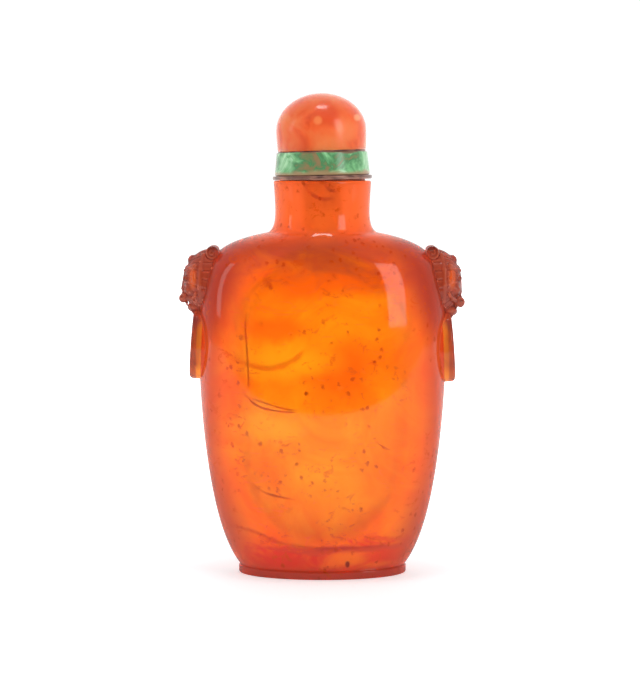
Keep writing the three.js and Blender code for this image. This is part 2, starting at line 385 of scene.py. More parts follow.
def on_face(across, up, raised=0.0):
    """A point raised on the mask's dome, placed by shares of its half-width and half-height."""
    fall = math.sqrt(max(0.0, 1 - across ** 2 - up ** 2))
    return np.array([MASK_X + DOME * fall + raised, across * MASK_W, MASK_Z + up * MASK_H])


def edge_point(x, z, raised=0.0):
    """A point on the side of the mask's dome, at a place in the front view."""
    fall = 1 - ((x - MASK_X) / DOME) ** 2 - ((z - MASK_Z) / MASK_H) ** 2
    return np.array([x, MASK_W * math.sqrt(max(fall, 0)) + raised, z])


def carve_mane(field):
    """Swirling grooves round the edge of the dome, which calm down towards the face."""
    locks, swirl, face_edge, parting = 22, 2.4, 0.72, 0.28
    spacing, fading = 4.5, 4

    def lock(x, y, z):
        across, up = np.abs(y) / MASK_W, (z - MASK_Z) / MASK_H
        away = np.sqrt(across ** 2 + up ** 2) + 0 * x
        turn = np.arctan2(up, across) * locks / (2 * math.pi) + swirl * (away - face_edge)
        calm = fading * (np.maximum(face_edge - away, 0) + np.maximum(parting - across, 0))
        return (turn - np.round(turn)) * 2 * math.pi * spacing / locks + calm

    middle = (MASK_X + 0.5 * DOME, 0, MASK_Z)
    field.score(middle, (DOME, MASK_W + 0.3, MASK_H + 0.3), lock, 0.13, 0.1)


def carve_edges(field):
    """A raised band along each edge, and a lozenge-shaped ear behind each eye."""
    band_line = ((18.6, 50.4), (19.0, 48.2), (19.1, 45.8), (18.9, 43.2))
    for hand in (1, -1):
        band = [edge_point(x, z, -0.22) * (1, hand, 1) for x, z in band_line]
        for start, end in zip(band, band[1:]):
            field.join(rod(start, end, 0.42), 0.12)
        ear = edge_point(20.15, MASK_Z + 0.9, -0.1) * (1, hand, 1)
        field.join(ball(ear, (0.34, 0.42, 1.05)), 0.1)


def carve_forehead(field, snout):
    field.join(ball(on_face(0, 0.66, -0.35), (0.75, 0.75, 0.85)), 0.3)
    field.join(rod(on_face(0, 0.42, -0.25), snout + (-0.05, 0, 0.9), 0.5, 0.62), 0.35)


def carve_brows(field):
    """Two slanting brows with combed hairs."""
    hairs, slant = 5, math.radians(62)
    for hand in (1, -1):
        inner, outer = on_face(0.16 * hand, 0.36), on_face(0.66 * hand, 0.5)
        field.join(rod(inner, outer, 0.36, 0.5), 0.22)
        for k in range(1, hairs + 1):
            at = inner + (outer - inner) * k / hairs

            def hair(x, y, z, at=at, lean=slant * hand):
                return (y - at[1]) * math.sin(lean) - (z - at[2]) * math.cos(lean)

            field.score(at, (1.2, 0.3, 0.75), hair, 0.07, 0.05)


def carve_eyes(field):
    for hand in (1, -1):
        eye = on_face(0.4 * hand, 0.14, -0.02)
        field.carve(ball(eye + (0.45, 0, 0), (0.5, 1.0, 0.68)), 0.2)
        field.join(ball(eye, (0.5, 0.62, 0.5)), 0.08)
        field.carve(ball(eye + (0.5, 0, -0.02), (0.22, 0.17, 0.17)), 0.06)


def carve_cheeks(field, snout):
    """Round cheeks, and whiskers that sweep back over them."""
    for hand in (1, -1):
        field.join(ball(on_face(0.46 * hand, -0.2, -0.55), (0.9, 0.95, 0.85)), 0.3)
        start = snout + (-0.4, 1.35 * hand, 0.1)
        middle = on_face(0.62 * hand, -0.46)
        end = on_face(0.82 * hand, -0.3, 0.1)
        field.join(rod(start, middle, 0.34, 0.3), 0.15)
        field.join(rod(middle, end, 0.3, 0.24), 0.12)


def carve_snout(field, snout, radius):
    """A curled snout with a groove over it and nostrils."""
    half, groove_half = 0.95, 1.6
    field.join(rod(snout - (0, half, 0), snout + (0, half, 0), radius), 0.14)
    groove = snout + (radius * 0.8, 0, radius + 0.22)
    field.carve(rod(groove - (0, groove_half, 0), groove + (0, groove_half, 0), 0.32), 0.2)
    for hand in (1, -1):
        wing = snout + (-0.12, 1.3 * hand, 0.12)
        field.join(ball(wing, (0.62, 0.5, 0.56)), 0.14)
        field.carve(ball(wing + (0.42, 0.16 * hand, 0.12), (0.3, 0.2, 0.2)), 0.08)


def carve_mouth(field, snout):
    """An open mouth with teeth over a jaw and a short beard."""
    gap, half = 0.98, 1.7
    field.join(ball((20.1, 0, snout[2] - 1.45), (1.2, 1.95, 0.85)), 0.25)
    field.carve(rod(snout + (-0.2, -half, -gap), snout + (-0.2, half, -gap), 0.27), 0.12)
    for y in (-1.15, -0.4, 0.4, 1.15):
        field.join(rod(snout + (-0.45, y, -0.7), snout + (-0.5, y, -1.15), 0.17, 0.1), 0.05)
    for y in (-1.5, -0.75, 0, 0.75, 1.5):
        field.join(rod((20.3, y, snout[2] - 1.9), (19.7, 1.15 * y, snout[2] - 3.0), 0.36, 0.16), 0.14)


def carve_coils(field):
    """Coiled locks on top, seen end on from the front."""
    for hand in (1, -1):
        coil = np.array([BODY_A - 2.3, 1.85 * hand, MASK_Z + 0.9 * MASK_H])
        field.join(drum(coil, 1.05, 1.1, 0.25), 0.15)
        field.score(coil, (1.0, 1.5, 1.0), spiral(coil, 0.6, 0.6), 0.12)


def carve_side(values, step):
    """Points and faces of the mask and ring on one side."""
    field = Field(step)
    radius = values["snout_radius"]
    snout = np.array([values["reach"] - radius, 0, MASK_Z - values["snout_drop"]])
    field.join(ball((MASK_X, 0, MASK_Z), (DOME, MASK_W, MASK_H)), 0.1)
    carve_mane(field)
    carve_edges(field)
    carve_forehead(field, snout)
    carve_brows(field)
    carve_eyes(field)
    carve_cheeks(field, snout)
    carve_snout(field, snout, radius)
    carve_mouth(field, snout)
    carve_coils(field)
    field.join(hanging_ring(BODY_A, MASK_Z - values["ring_drop"]), 0.12)
    field.flatten(CARVING_BACK)
    points, quads = field.mesh()
    points[:, :2] *= values["hand"]
    return points, quads


def join_solids(base, others):
    for other in others:
        union = base.modifiers.new("join", "BOOLEAN")
        union.operation = "UNION"
        union.object = other
        union.solver = "MANIFOLD"
    depsgraph = bpy.context.evaluated_depsgraph_get()
    mesh = bpy.data.meshes.new_from_object(base.evaluated_get(depsgraph))
    base.modifiers.clear()
    base.data = mesh
    for other in others:
        bpy.data.objects.remove(other)


def mark_hollow(mesh):
    """Marks the points of the hollow's wall, so that the shader can tell it from the outside."""
    thinnest = 1.5
    spots = np.empty(3 * len(mesh.vertices), np.float32)
    mesh.vertices.foreach_get("co", spots)
    x, y, z = spots.reshape(-1, 3).T / MM
    half_a, half_b = half_sizes(z)
    power = 2 + squareness(z)
    share = (np.abs(x / half_a) ** power + np.abs(y / half_b) ** power) ** (1 / power)
    inside = (share < 1 - thinnest / half_b) & (z > BASE - 0.5) & (z < HEIGHT - 0.1)
    mesh.attributes.new("hollow", "FLOAT", "POINT").data.foreach_set("value", inside.astype(np.float32))


def make_bottle(material):
    fine, sides, step = ((20, 160, 0.125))
    bottle = oval_form("bottle", bottle_stations(fine), sides, material)
    carvings = [mesh_object("carving", *carve_side(values, step), None, smooth=False)
                for values in (RIGHT, LEFT)]
    join_solids(bottle, carvings)
    bottle.data.shade_smooth()
    mark_hollow(bottle.data)
    return bottle


# Stopper


def turned(name, profile, sides, material):
    """A round form from a profile of (radius, height)."""
    return oval_form(name, [(z, r, r, 0.0) for r, z in profile], sides, material)


def eased(radius_low, radius_high, height, ease):
    """The profile of a flat slice whose two edges are rounded."""

    def arc(r, z, start, end):
        return [(r + ease * math.cos(t), z + ease * math.sin(t))
                for t in np.radians(np.linspace(start, end, 5))]

    under = [(0, 0)] + [(share * radius_low, 0) for share in (0.4, 0.8)]
    over = [(share * radius_high, height) for share in (0.8, 0.4)] + [(0, height)]
    side = [(radius_low + (radius_high - radius_low) * t, ease + (height - 2 * ease) * t)
            for t in (0.25, 0.5, 0.75)]
    low_edge = arc(radius_low - ease, ease, -90, 0)
    high_edge = arc(radius_high - ease, height - ease, 0, 90)
    return under + low_edge + side + high_edge + over


def stopper_place(lift, extra=0.0):
    """Where a stopper piece sits: tilted about the lip's left edge, right side up."""
    seat = HEIGHT + DISC_R * math.sin(TILT) + STOPPER_GAP / 2
    raised = Matrix.Translation((0, 0, lift * MM))
    tilted = Matrix.Rotation(-TILT, 4, "Y")
    return Matrix.Translation((0, 0, seat * MM)) @ tilted @ raised @ Matrix.Rotation(-extra, 4, "Y")


def make_cap(material):
    """The coral dome: an eased base, a slightly swelling skirt and a pressed half-round."""
    base, widest, skirt, ease = CAP_BASE, CAP_WIDEST, CAP_SKIRT, 0.2
    profile = [(0, 0), (0.4 * base, 0), (0.8 * base, 0)]
    profile += [(base - ease + ease * math.cos(t), ease + ease * math.sin(t))
                for t in np.radians(np.linspace(-90, 0, 5))]
    profile += [(base + (widest - base) * math.sin(0.5 * math.pi * s), ease + (skirt - ease) * s)
                for s in np.linspace(0.1, 0.9, 9)]
    profile += [(widest * math.cos(t), skirt + CAP_DOME * math.sin(t))
                for t in np.linspace(0, 0.5 * math.pi, 40)[:-1]]
    return turned("coral_dome", profile + [(0, skirt + CAP_DOME)], 128, material)


def make_cork(material):
    profile = [(0, -CORK_LENGTH), (CORK_FOOT - 0.1, -CORK_LENGTH), (CORK_FOOT, 0.2 - CORK_LENGTH)]
    return turned("cork_plug", profile + [(CORK_TOP, 0), (0, 0)], 64, material)


def gap_shade(name, radius, low, high, material):
    """A thin dark sheet between two stopper pieces, from one tilted plane up to another: painted shade in the
    narrow gap between them.
    """
    count = 64
    points = [(0, 0, 0)]
    for share in (0.5, 1):
        points += [(share * radius * math.cos(t), share * radius * math.sin(t), 0)
                   for t in np.linspace(0, 2 * math.pi, count, endpoint=False)]
    planes = [np.array([tuple(plane @ Vector(np.array(point) * MM)) for point in points]) / MM
              for plane in (low, high)]
    half = len(points)
    faces = []
    for k in range(count):
        n = (k + 1) % count
        for lift, turn in ((0, -1), (half, 1)):
            faces.append([lift + i for i in (0, 1 + k, 1 + n)][::turn])
            faces.append([lift + i for i in (1 + k, 1 + count + k, 1 + count + n, 1 + n)][::turn])
        faces.append((1 + count + k, 1 + count + n, half + 1 + count + n, half + 1 + count + k))
    return mesh_object(name, np.vstack(planes), faces, material)


# What is sealed in the amber

# Threads as (x, z) in the front view, then their radius, depth under the front and colour
THREADS = [
    ([(-11.9, 41.8), (-11.8, 38.6), (-11.5, 34.7), (-11.3, 29.9)], 0.22, 0.35, "bark"),
    ([(-12.2, 29.3), (-9.9, 27.5), (-7.0, 26.8), (-3.8, 26.6)], 0.26, 0.35, "bark"),
    ([(-11.3, 28.8), (-8.8, 28.0), (-5.6, 27.1), (-3.6, 27.0)], 0.14, 0.35, "bark"),
    ([(-14.6, 34.7), (-11.3, 33.7), (-7.8, 33.2), (-4.8, 34.3), (-2.8, 36.0)], 0.5, 2.4, "haze"),
    ([(-11.8, 15.9), (-9.5, 14.2), (-7.0, 13.4), (-3.8, 12.9)], 0.2, 0.4, "bark"),
    ([(-2.8, 61.4), (-1.8, 60.0), (0.2, 59.2), (1.8, 59.4)], 0.3, 0.8, "haze"),
    ([(0.2, 61.6), (1.2, 60.6), (2.4, 60.3)], 0.28, 0.6, "bark"),
    ([(-14.5, 8.2), (-10.5, 7.4), (-7.0, 6.0), (-1.3, 5.1), (4.4, 5.0), (10.5, 5.3)], 0.34, 1.2, "haze"),
]
# Larger flecks as (x, z, radius)
FLECKS = [
    (2.4, 13.2, 0.3), (3.3, 11.6, 0.34), (1.3, 14.6, 0.2), (-14.2, 25.3, 0.22),
    (-9.6, 21.6, 0.26), (-4.0, 18.6, 0.24), (7.2, 24.4, 0.22), (9.4, 21.0, 0.16), (1.4, 37.3, 0.24),
    (8.0, 34.4, 0.2), (-2.5, 29.6, 0.24), (-9.3, 40.2, 0.22), (1.7, 47.6, 0.24), (8.8, 43.0, 0.2),
    (0.9, 46.8, 0.16), (-12.7, 20.4, 0.14), (5.4, 9.4, 0.16), (-6.6, 36.0, 0.14), (-1.2, 26.0, 0.16),
]
GRAIN_TRIES = 480


def front(x, z, depth):
    """The point that lies a depth behind the front wall, at a place in the front view."""
    half_a, half_b = half_sizes(z)
    power = 2 + float(squareness(z))
    return np.array([x, depth - half_b * max(1 - abs(x / half_a) ** power, 0) ** (1 / power), z])


def smooth_line(knots, depth, steps=10):
    """A smooth line through places in the front view, laid a depth behind the front wall."""
    knots = [np.array(knot, float) for knot in knots]
    knots = [2 * knots[0] - knots[1]] + knots + [2 * knots[-1] - knots[-2]]
    line = []
    for before, start, end, after in zip(knots, knots[1:], knots[2:], knots[3:]):
        for t in np.linspace(0, 1, steps, endpoint=False):
            x, z = 0.5 * (2 * start + (end - before) * t
                          + (2 * before - 5 * start + 4 * end - after) * t * t
                          + (3 * start - before - 3 * end + after) * t ** 3)
            line.append(front(x, z, depth))
    return line


def thread(knots, radius, depth):
    """Points and faces of a thin tapered tube that follows the front wall."""
    spine = smooth_line(knots, depth)
    sides, flatness = 8, 0.5
    rows = []
    for i, middle in enumerate(spine):
        run = spine[min(i + 1, len(spine) - 1)] - spine[max(i - 1, 0)]
        across = np.cross(run, (0, 1, 0))
        across /= np.linalg.norm(across)
        out = np.cross(across, run)
        out /= np.linalg.norm(out)
        wobble = 0.75 + 0.5 * noise.noise(Vector(middle * 0.9))
        thick = radius * wobble * math.sin(math.pi * (i + 0.5) / len(spine)) ** 0.5
        rows += [middle + thick * (math.cos(t) * across + flatness * math.sin(t) * out)
                 for t in np.linspace(0, 2 * math.pi, sides, endpoint=False)]
    faces = [tuple(range(sides))[::-1], tuple(range(len(rows) - sides, len(rows)))]
    for i in range(len(spine) - 1):
        low, high = i * sides, (i + 1) * sides
        for j in range(sides):
            k = (j + 1) % sides
            faces.append((low + j, low + k, high + k, high + j))
    return rows, faces


def fleck(middle, radius, seed):
    """Points and faces of a small ragged grain."""
    rng = np.random.default_rng(seed)
    sides, tip, flat = 6, 0.4 * radius, 0.25 * radius
    turn = np.linspace(0, 2 * math.pi, sides, endpoint=False)
    size = radius * rng.uniform(0.5, 1.5, (3, 1))
    points = [middle + (0, -tip, 0)]
    for push in (-flat, flat):
        wide = size[0] * rng.uniform(0.6, 1.2, sides)
        tall = size[2] * rng.uniform(0.6, 1.2, sides)
        points += [middle + (wide[i] * math.cos(t), push, tall[i] * math.sin(t)) for i, t in enumerate(turn)]
    points.append(middle + (0, tip, 0))
    return points, rings_to_faces(4, sides)


def scattered_grains():
    """Small grains scattered in loose crowds behind the front."""
    rng = np.random.default_rng(7)
    mid_z, half_x, half_z, crowding = 31, 15, 22, 0.16
    grains = []
    for i in range(GRAIN_TRIES):
        x, z = rng.uniform(-14, 14), rng.uniform(9, 50)
        crowd = noise.noise(Vector((x * crowding, 3.1, z * crowding)))
        if (x / half_x) ** 2 + ((z - mid_z) / half_z) ** 2 < 1 and crowd > -0.2:
            radius = rng.uniform(0.05, 0.13)
            grains.append(fleck(front(x, z, rng.uniform(0.2, 0.5)), radius, 100 + i))
    return grains


def joined(name, parts, material):
    points, faces = [], []
    for new_points, new_faces in parts:
        faces += [tuple(i + len(points) for i in face) for face in new_faces]
        points += list(new_points)
    return mesh_object(name, points, faces, material)


def make_inclusions(bark, haze):
    grains = [fleck(front(x, z, 0.1 + 0.5 * radius), radius, i) for i, (x, z, radius) in enumerate(FLECKS)]
    pieces = [joined("sealed_grains", grains + scattered_grains(), bark)]
    for kind, material in (("bark", bark), ("haze", haze)):
        parts = [thread(knots, radius, depth) for knots, radius, depth, sort in THREADS if sort == kind]
        pieces.append(joined("sealed_" + kind, parts, material))
    return pieces


# Materials

# Colours of the amber
HONEY = [(0.3, (0.9, 0.19, 0.001)), (0.48, (0.95, 0.33, 0.002)), (0.68, (1.0, 0.5, 0.004))]
EMBER = [(0.38, (0.72, 0.05, 0.02)), (0.5, (0.85, 0.15, 0.02)), (0.62, (0.95, 0.32, 0.03))]
# Mask skin from hollow to raised: painted shade darkens the hollows, painted light makes the raised parts
# paler
MASK_SKIN_AND_SHADE = [(0.41, (0.05, 0.007, 0.006)), (0.5, (0.25, 0.045, 0.035)), (0.58, (0.6, 0.18, 0.12))]
# Painted light and shade across each ring, from the body out: shaded dark red, a lit bright orange band,
# shaded dark red
RING_LIGHT_AND_SHADE = [
    (0.1, (0.55, 0.05, 0.02)), (0.22, (0.5, 0.05, 0.02)), (0.3, (1.0, 0.5, 0.05)),
    (0.5, (1.0, 0.45, 0.05)), (0.6, (0.5, 0.14, 0.05)), (0.9, (0.45, 0.1, 0.04)),
]
STREAK, SPECK, WISP, KNOT = (1.0, 0.24, 0.01), (0.34, 0.05, 0.003), (0.5, 0.09, 0.004), (0.1, 0.015, 0.003)
SHOULDER_RED, NECK_ORANGE, FOOT_RED = (0.35, 0.09, 0.055), (0.8, 0.22, 0.06), (0.55, 0.07, 0.03)
# Painted shade: darker reds towards the sides, low and high on the body
LOW_SIDE_SHADE, HIGH_SIDE_SHADE = (0.5, 0.1, 0.035), (0.34, 0.055, 0.05)
EAR_ORANGE, INNER_WALL = (0.6, 0.13, 0.03), (1.0, 0.95, 0.6)
# Lighter and darker clouds in the amber: colour, then middle and reach in the front view
CLOUDS = [
    ((0.85, 0.16, 0.001), (3.5, 32.5), (5.5, 4.5)),
    ((1.0, 0.56, 0.008), (-5.5, 34.3), (7.0, 2.1)),
    ((0.88, 0.17, 0.001), (-6.8, 39.2), (5.0, 1.8)),
    ((1.0, 0.55, 0.02), (-9.5, 24.2), (5.2, 1.8)),
    ((0.88, 0.18, 0.002), (1.0, 46.2), (10.0, 2.2)),
    ((0.5, 0.08, 0.045), (4.0, 4.7), (12.0, 0.6)),
    ((0.7, 0.05, 0.02), (-6.2, 2.8), (4.5, 1.1)),
    ((0.7, 0.06, 0.02), (11.2, 3.0), (3.5, 1.1)),
    ((1.0, 0.38, 0.02), (4.2, 3.0), (2.6, 1.1)),
]
# Clouds in the front of the coral, and painted highlights on two small pits: colour, then middle and radius
CORAL_CLOUDS_AND_HIGHLIGHTS = [
    ((0.84, 0.1, 0.022), (0.8, 72.3), 1.7),
    # painted highlight on a small pit
    ((1.0, 0.26, 0.08), (-0.7, 71.3), 0.6),
    # painted highlight on a small pit
    ((1.0, 0.33, 0.15), (5.4, 71.8), 0.5),
    ((1.0, 0.22, 0.065), (3.5, 69.7), 1.7),
]


def is_socket(value):
    return isinstance(value, bpy.types.NodeSocket)


class Shader:
    """A material, with short ways to add nodes to it. Noise scales are per metre."""

    def __init__(self, name):
        self.material = bpy.data.materials.new(name)
        self.material.use_nodes = True
        self.tree = self.material.node_tree
        self.surface = self.tree.nodes["Principled BSDF"]
        self.out = self.tree.nodes["Material Output"]

    def link(self, output, target):
        self.tree.links.new(output, target)

    def fill(self, node, values):
        """Links or sets a node's inputs, by name."""
        for key, value in values.items():
            socket = node.inputs[key.replace("_", " ")]
            if is_socket(value):
                self.link(value, socket)
            else:
                socket.default_value = value

    def node(self, kind, **inputs):
        new = self.tree.nodes.new(kind)
        self.fill(new, inputs)
        return new

    def set(self, **inputs):
        self.fill(self.surface, inputs)

    def ramp(self, factor, stops):
        new = self.node("ShaderNodeValToRGB", Fac=factor)
        set_stops(new.color_ramp, stops)
        return new.outputs["Color"]

    def place(self, scale=(1, 1, 1)):
        coords = self.node("ShaderNodeTexCoord").outputs["Object"]
        return self.node("ShaderNodeMapping", Vector=coords, Scale=scale).outputs["Vector"]

    def axes(self):
        """The place in the object, in millimetres."""
        split = self.node("ShaderNodeSeparateXYZ", Vector=self.place((1 / MM, 1 / MM, 1 / MM)))
        return [split.outputs[axis] for axis in "XYZ"]

    def noise(self, vector, scale, detail=3.0, rough=0.5, warp=0.0):
        new = self.node("ShaderNodeTexNoise", Vector=vector, Scale=scale, Detail=detail,
                        Roughness=rough, Distortion=warp)
        return new.outputs["Fac"]

    def mix(self, factor, a, b):
        """A colour between two: the first where the factor is 0."""
        new = self.tree.nodes.new("ShaderNodeMix")
        new.data_type = "RGBA"
        self.link(factor, new.inputs[0])
        for socket, value in ((new.inputs[6], a), (new.inputs[7], b)):
            if is_socket(value):
                self.link(value, socket)
            else:
                socket.default_value = (*value, 1)
        return new.outputs[2]

    def math(self, operation, *values):
        new = self.tree.nodes.new("ShaderNodeMath")
        new.operation = operation
        for socket, value in zip(new.inputs, values):
            if is_socket(value):
                self.link(value, socket)
            else:
                socket.default_value = value
        return new.outputs[0]

    def times(self, a, b):
        return self.math("MULTIPLY", a, b)

    def scaled(self, value, factor, more):
        return self.math("MULTIPLY_ADD", value, factor, more)

    def span(self, value, low, high):
        """0 at the low value and 1 at the high one, with a soft step between them."""
        new = self.node("ShaderNodeMapRange", Value=value, From_Min=low, From_Max=high)
        new.interpolation_type = "SMOOTHSTEP"
        return new.outputs["Result"]

    def oval(self, across, up, middle, reach, soft=0.12):
        """1 inside an oval and 0 outside it, with a soft edge."""
        squares = []
        for value, at, size in zip((across, up), middle, reach):
            share = self.math("DIVIDE", self.math("SUBTRACT", value, at), size)
            squares.append(self.times(share, share))
        return self.span(self.math("SQRT", self.math("ADD", *squares)), 1 + soft, 1 - soft)

    def bump(self, height, strength, distance):
        new = self.node("ShaderNodeBump", Height=height, Strength=strength, Distance=distance)
        self.link(new.outputs["Normal"], self.surface.inputs["Normal"])


def set_stops(ramp, stops):
    """Gives a colour ramp its stops as (position, colour)."""
    ramp.elements.remove(ramp.elements[0])
    for i, (position, colour) in enumerate(stops):
        element = ramp.elements[0] if i == 0 else ramp.elements.new(position)
        element.position = position
        element.color = (*colour, 1)


def amber_depths(s, x, z):
    """Honey-coloured clouds, with redder swirls at the base and dull red at the shoulder."""
    where = s.place()
    swirl = s.noise(s.place((1, 1, 2.2)), 120, 4, 0.55, 1.4)
    drift = s.scaled(swirl, 12, z)
    colour = s.ramp(s.noise(where, 80, 4, 0.55, 1.6), HONEY)
    colour = s.mix(s.span(drift, 12.7, 10), colour, s.ramp(swirl, EMBER))
    drag = s.scaled(s.noise(where, 150, 3), 7, -3.5)
    for tone, middle, reach in CLOUDS:
        near = s.times(drag, 0.25 + 0.16 * reach[1])
        cloud = s.oval(s.math("ADD", x, near), s.math("SUBTRACT", z, near), middle, reach, 0.6)
        colour = s.mix(cloud, colour, tone)
    streaks = s.span(s.noise(s.place((0.6, 0.6, 1.6)), 210, 5, 0.6, 2.2), 0.6, 0.7)
    colour = s.mix(s.times(streaks, 0.6), colour, STREAK)
    colour = s.mix(s.span(drift, 50, 58.5), colour, SHOULDER_RED)
    return s.mix(s.span(z, 51.5, 54.5), colour, NECK_ORANGE)


def amber_side_shade_and_foot(s, colour, apart, z):
    """Painted shade: darker red towards the sides, standing in for the longer path of light through the thick
    amber there, wider at the shoulder and base and none in the neck; and a darker red foot.
    """
    shade_from = apart
    for low, high, wider in ((36, 50, 3.6), (20, 3, 4.2), (52, 54.5, -3.6)):
        shade_from = s.scaled(s.span(z, low, high), wider, shade_from)
    # Painted shade towards the sides, duller higher up
    side_shade = s.mix(s.span(z, 34, 42), LOW_SIDE_SHADE, HIGH_SIDE_SHADE)
    colour = s.mix(s.span(shade_from, 12.5, 18.5), colour, side_shade)
    return s.mix(s.span(z, 2.7, FOOT_H - 0.1), colour, FOOT_RED)


def amber_flaws(s, colour, x, y, z):
    """One dark knot near the base, and crowds of fine specks and wisps."""
    where = s.place()
    knot = s.times(s.oval(x, z, (3.9, 2.5), (0.36, 0.55), 0.4), s.span(y, 0, -2))
    colour = s.mix(knot, colour, KNOT)
    grain = s.node("ShaderNodeTexVoronoi", Vector=s.place((1, 1, 0.8)), Scale=640, Randomness=1)
    ragged = s.scaled(s.noise(where, 1300, 3, 0.7), 0.7, grain.outputs["Distance"])
    crowd = s.noise(where, 110, 3, 0.6)
    speck = s.times(s.span(ragged, 0.62, 0.42), s.span(crowd, 0.45, 0.56))
    colour = s.mix(s.times(speck, 0.85), colour, SPECK)
    wisps = s.span(s.noise(s.place((1, 1, 1.5)), 420, 4, 0.7, 0.8), 0.55, 0.66)
    wisps = s.times(wisps, s.span(crowd, 0.42, 0.54))
    return s.mix(s.times(wisps, 0.7), colour, WISP)


def amber_masks(s, colour, apart, y, z):
    """The masks' dull red skin, with painted shade darkening the carving's hollows and painted light paling
    its raised parts, and an orange ear.
    """
    # Painted shade and light: darker where the carving is hollow, paler where it is raised
    pointiness_shade = s.node("ShaderNodeNewGeometry").outputs["Pointiness"]
    shaded_skin = s.ramp(pointiness_shade, MASK_SKIN_AND_SHADE)
    shaded_skin = s.mix(s.oval(apart, z, (20.3, MASK_Z + 0.7), (0.5, 1.5), 0.5), shaded_skin, EAR_ORANGE)
    mask = s.oval(y, z, (0, MASK_Z + 0.6), (MASK_W + 0.8, MASK_H + 1.3))
    return s.mix(s.times(s.span(apart, 16.2, 17.4), mask), colour, shaded_skin)


def amber_rings(s, colour, apart, y, z):
    """Painted light and shade on the rings: a lit bright orange band between shaded dark red edges, one where
    the ring meets the body and one at its outer edge.
    """
    middle = (0, MASK_Z - 9.8)
    # Painted light and shade across the ring, by distance out from the body
    band = s.ramp(s.scaled(s.scaled(z, 0.04, apart), 0.4, -7.9), RING_LIGHT_AND_SHADE)
    ring = s.times(s.span(z, 40.5, 38.5), s.oval(y, z, middle, (RING_HALF_Y + 0.2, RING_HALF_Z + 0.3), 0.04))
    ring = s.math("SUBTRACT", ring, s.oval(y, z, middle, (3.3, 4.4), 0.1))
    return s.mix(s.times(ring, s.span(apart, 18.1, 18.7)), colour, band)


def amber_material():
    s = Shader("amber")
    x, y, z = s.axes()
    apart = s.math("ABSOLUTE", x)
    colour = amber_depths(s, x, z)
    colour = amber_side_shade_and_foot(s, colour, apart, z)
    colour = amber_flaws(s, colour, x, y, z)
    colour = amber_masks(s, colour, apart, y, z)
    colour = amber_rings(s, colour, apart, y, z)
    hollow = s.tree.nodes.new("ShaderNodeAttribute")
    hollow.attribute_name = "hollow"
    inner = hollow.outputs["Fac"]
    s.set(Base_Color=s.mix(inner, colour, INNER_WALL), Roughness=s.scaled(inner, 0.2, 0.76),
          IOR=1.19, Transmission_Weight=0.85, Specular_Tint=(1.0, 0.4, 0.05, 1))
    s.set(Coat_Weight=0.34, Coat_Roughness=0.06, Coat_IOR=1.8)
    absorb = s.node("ShaderNodeVolumeAbsorption", Color=(0.975, 0.62, 0.0, 1), Density=170)
    s.link(absorb.outputs["Volume"], s.out.inputs["Volume"])
    s.bump(s.noise(s.place(), 260, 2), 0.12, 0.0004)
    return s.material


def bark_material():
    s = Shader("bark")
    stops = [(0.35, (0.32, 0.014, 0.002)), (0.65, (0.75, 0.07, 0.006))]
    s.set(Base_Color=s.ramp(s.noise(s.place(), 900, 2), stops), Roughness=0.6)
    return s.material


def haze_material():
    s = Shader("haze")
    stops = [(0.35, (0.85, 0.22, 0.01)), (0.65, (1.0, 0.4, 0.02))]
    s.set(Base_Color=s.ramp(s.noise(s.place(), 500, 2), stops), Roughness=0.5, IOR=1.54,
          Transmission_Weight=1.0)
    return s.material


def coral_material():
    s = Shader("coral")
    where = s.place()
    x, y, z = s.axes()
    stops = [(0.3, (0.72, 0.07, 0.015)), (0.47, (0.93, 0.14, 0.03)), (0.7, (0.98, 0.23, 0.065))]
    colour = s.ramp(s.noise(where, 190, 3, 0.5, 0.8), stops)
    facing = s.span(y, 0, -1)
    # Clouds, and painted highlights on two pits, on the front only
    for tone, middle, radius in CORAL_CLOUDS_AND_HIGHLIGHTS:
        spot = s.oval(x, z, middle, (radius, radius), 0.5)
        colour = s.mix(s.times(spot, facing), colour, tone)
    s.set(Base_Color=colour, Roughness=0.2, IOR=1.5, Subsurface_Weight=0.6, Subsurface_Scale=0.003,
          Subsurface_Radius=(1.0, 0.35, 0.15))
    s.bump(s.noise(where, 900, 3), 0.15, 0.0002)
    return s.material


def green_material():
    """Mottled green stone, with a brown lower edge and a dark upper one."""
    s = Shader("green_stone")
    where = s.place()
    x, y, z = s.axes()
    stops = [(0.32, (0.3, 0.2, 0.09)), (0.42, (0.08, 0.26, 0.1)), (0.53, (0.2, 0.52, 0.22)),
             (0.66, (0.5, 0.85, 0.5))]
    colour = s.ramp(s.noise(where, 260, 4, 0.6, 1.0), stops)
    height = s.math("SUBTRACT", z, s.times(x, math.sin(TILT)))
    uneven = s.scaled(s.noise(where, 420, 3), 1.2, height)
    colour = s.mix(s.span(uneven, 64.4, 63.7), colour, (0.42, 0.27, 0.13))
    colour = s.mix(s.span(uneven, 66.8, 67.1), colour, (0.2, 0.13, 0.07))
    s.set(Base_Color=colour, Roughness=0.2, IOR=1.6)
    s.bump(s.noise(where, 1200, 2), 0.1, 0.0002)
    return s.material


def horn_material():
    s = Shader("horn")
    stops = [(0.35, (0.12, 0.05, 0.035)), (0.65, (0.42, 0.2, 0.14))]
    colour = s.ramp(s.noise(s.place((1, 1, 4)), 400, 3, 0.5, 0.5), stops)
    s.set(Base_Color=colour, Roughness=0.3, IOR=1.5)
    return s.material


def cork_material():
    """Cork that lets light through, since it shows only as a shade in the neck."""
    s = Shader("cork")
    stops = [(0.35, (0.9, 0.6, 0.3)), (0.6, (1.0, 0.9, 0.6))]
    colour = s.ramp(s.noise(s.place(), 1500, 4, 0.6), stops)
    s.set(Base_Color=colour, Roughness=0.6, IOR=1.2, Transmission_Weight=0.9)
    return s.material


